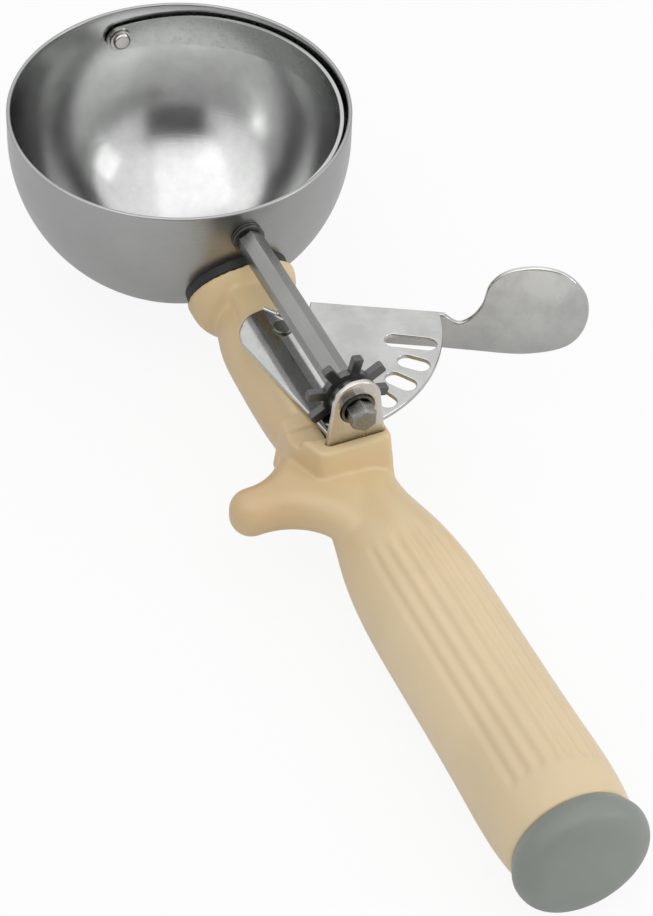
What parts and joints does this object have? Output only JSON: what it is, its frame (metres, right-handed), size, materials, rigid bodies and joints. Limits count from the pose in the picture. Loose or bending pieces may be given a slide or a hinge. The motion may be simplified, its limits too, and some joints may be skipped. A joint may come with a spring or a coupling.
{
  "type": "ice cream scoop",
  "caption": "Thumb-lever ice cream scoop: round steel bowl with a swinging scraper blade, geared slotted lever, hexagonal shaft and a fluted plastic handle with an end cap.",
  "frame": {"origin": "centre of the bowl's rim, in the plane of the rim", "axes": "+X back along the handle, +Y the side the thumb lever rests on, +Z out of the bowl's mouth"},
  "size_m": [0.214, 0.086, 0.0413],
  "materials": {
    "ivory_plastic": "moulded, satin",
    "grey_plastic": "moulded, satin",
    "seal_rubber": "matte",
    "spun_steel": "spun and polished outside, bright inside",
    "polished_sheet": "polished sheet with softened edges",
    "blade_steel": "cold-rolled strip",
    "drawn_steel": "drawn hexagonal bar, fine lengthwise lines",
    "sintered_steel": "dark, slightly rough",
    "dark_steel": "turned, dull",
    "plated_sheet": "bright plated",
    "zinc_steel": "zinc plated",
    "spring_steel": "drawn wire"
  },
  "bodies": {
    "handle_body": {"bowl": "spun_steel", "bowl_bushing": "dark_steel", "bowl_seal": "seal_rubber", "tang": "zinc_steel", "handle": "ivory_plastic", "end_cap": "grey_plastic", "handle_washer": "zinc_steel", "handle_nut": "zinc_steel", "bracket": "plated_sheet", "bracket_screws": "zinc_steel", "rear_bushing": "dark_steel", "pivot_post": "dark_steel", "pivot_spacer": "zinc_steel", "pivot_washer": "zinc_steel", "return_spring": "spring_steel", "far_pivot_rivet": "plated_sheet", "far_pivot_washer": "plated_sheet"},
    "lever": {"lever": "polished_sheet"},
    "scraper": {"shaft": "drawn_steel", "front_collar": "dark_steel", "pinion": "sintered_steel", "pinion_spacer": "dark_steel", "scraper_blade": "blade_steel", "blade_hub": "plated_sheet"}
  },
  "joints": [
    {"name": "thumb_lever", "type": "hinge", "parent": "handle_body", "child": "lever", "pos_m": [0.05215, -0.0006, -0.0133], "axis": [0, 0, -1], "range_deg": [0, 49.6], "stiffness_Nm_per_rad": 0.12, "springref_deg": -34.38, "deforming": ["return_spring"]},
    {"name": "scraper_spin", "type": "hinge", "parent": "handle_body", "child": "scraper", "pos_m": [0, 0, -0.006], "axis": [-1, 0, 0], "range_deg": [0, 180.5]}
  ],
  "couplings": [
    {"joint": "scraper_spin", "follows": "thumb_lever", "ratio": 3.629}
  ]
}
